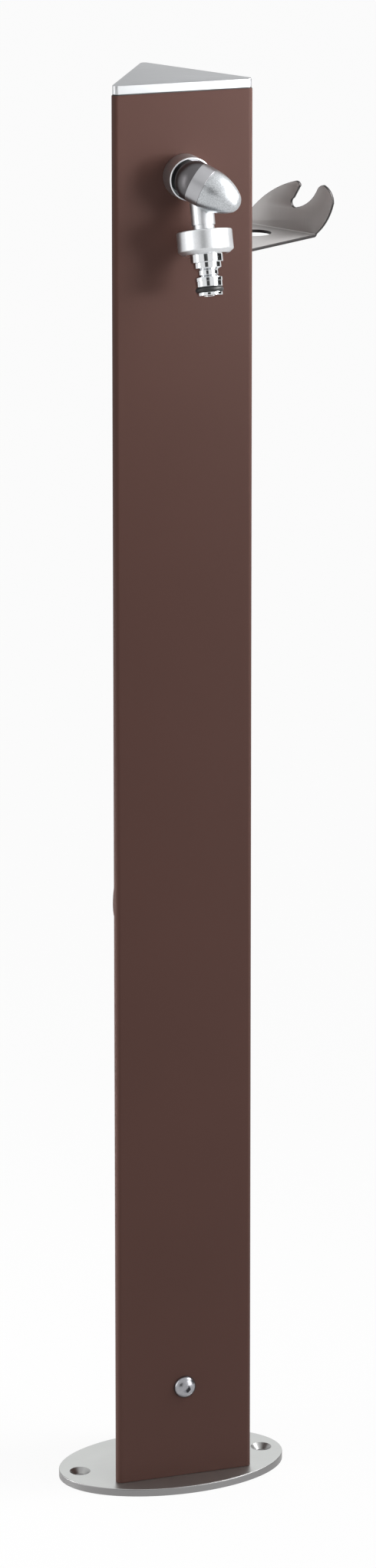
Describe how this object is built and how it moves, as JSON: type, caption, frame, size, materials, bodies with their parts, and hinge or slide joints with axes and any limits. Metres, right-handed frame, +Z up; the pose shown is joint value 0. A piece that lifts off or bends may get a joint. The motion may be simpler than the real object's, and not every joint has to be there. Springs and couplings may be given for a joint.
{
  "type": "garden standpipe",
  "caption": "Free-standing triangular water post on an oval foot, with a quarter-turn tap, a click-on hose plug under a union nut, and a bent hose bracket at the side.",
  "frame": {"origin": "on the floor, under the middle of the oval foot and of the triangular post", "axes": "+Z up the post, -Y out of the front face that carries the tap, +X to the side of the bracket"},
  "size_m": [0.1937, 0.1576, 0.95],
  "materials": {
    "post_coat": "matt powder coat",
    "foot_steel": "polished",
    "lid_steel": "satin",
    "socket_steel": "milled",
    "screw_steel": "satin",
    "inner_nut_steel": "milled",
    "tap_chrome": "polished",
    "ball_chrome": "polished",
    "ring_metal": "satin",
    "handle_metal": "fine blasted satin",
    "union_metal": "satin turned",
    "bracket_steel": "satin",
    "black_rubber": "smooth",
    "cartridge_plastic": "moulded",
    "pipe_brass": "turned",
    "riser_steel": "drawn",
    "plug_coat": "matt powder coat"
  },
  "bodies": {
    "standpipe": {"post": "post_coat", "foot_plate": "foot_steel", "foot_socket": "socket_steel", "clamp_screw": "screw_steel", "clamp_nut": "inner_nut_steel", "cap_gasket": "black_rubber", "cap": "lid_steel", "tap_sleeve": "tap_chrome", "sleeve_gasket": "black_rubber", "tap_elbow": "ball_chrome", "neck_washer": "inner_nut_steel", "neck_nut": "inner_nut_steel", "valve_body": "ring_metal", "valve_cartridge": "cartridge_plastic", "outlet_pipe": "tap_chrome", "wall_elbow": "pipe_brass", "inlet_fitting": "pipe_brass", "riser_pipe": "riser_steel", "riser_top_nut": "pipe_brass", "riser_foot_nut": "pipe_brass", "hose_bracket": "bracket_steel", "bracket_screws": "screw_steel", "bracket_nuts": "inner_nut_steel", "side_plug": "plug_coat", "side_plug_nut": "inner_nut_steel"},
    "handle": {"tap_handle": "handle_metal", "valve_stem": "pipe_brass", "handle_screw": "screw_steel"},
    "nut": {"union_nut": "union_metal"},
    "plug": {"hose_plug": "tap_chrome", "plug_o_ring": "black_rubber", "union_seal": "black_rubber"}
  },
  "joints": [
    {"name": "handle_turn", "type": "hinge", "parent": "standpipe", "child": "handle", "pos_m": [0, -0.05175, 0.8896], "axis": [0.7068, -0.5602, -0.4321], "range_deg": [0, 90]},
    {"name": "nut_turn", "type": "hinge", "parent": "standpipe", "child": "nut", "pos_m": [0.0055, -0.05401, 0.85125], "axis": [0, -0.284, -0.9588], "range_deg": [-1440, 0]},
    {"name": "plug_release", "type": "slide", "parent": "standpipe", "child": "plug", "axis": [0, -0.284, -0.9588], "range_m": [0, 0.00726]}
  ],
  "couplings": [
    {"joint": "plug_release", "follows": "nut_turn", "m_per_rad": -0.00028871}
  ]
}
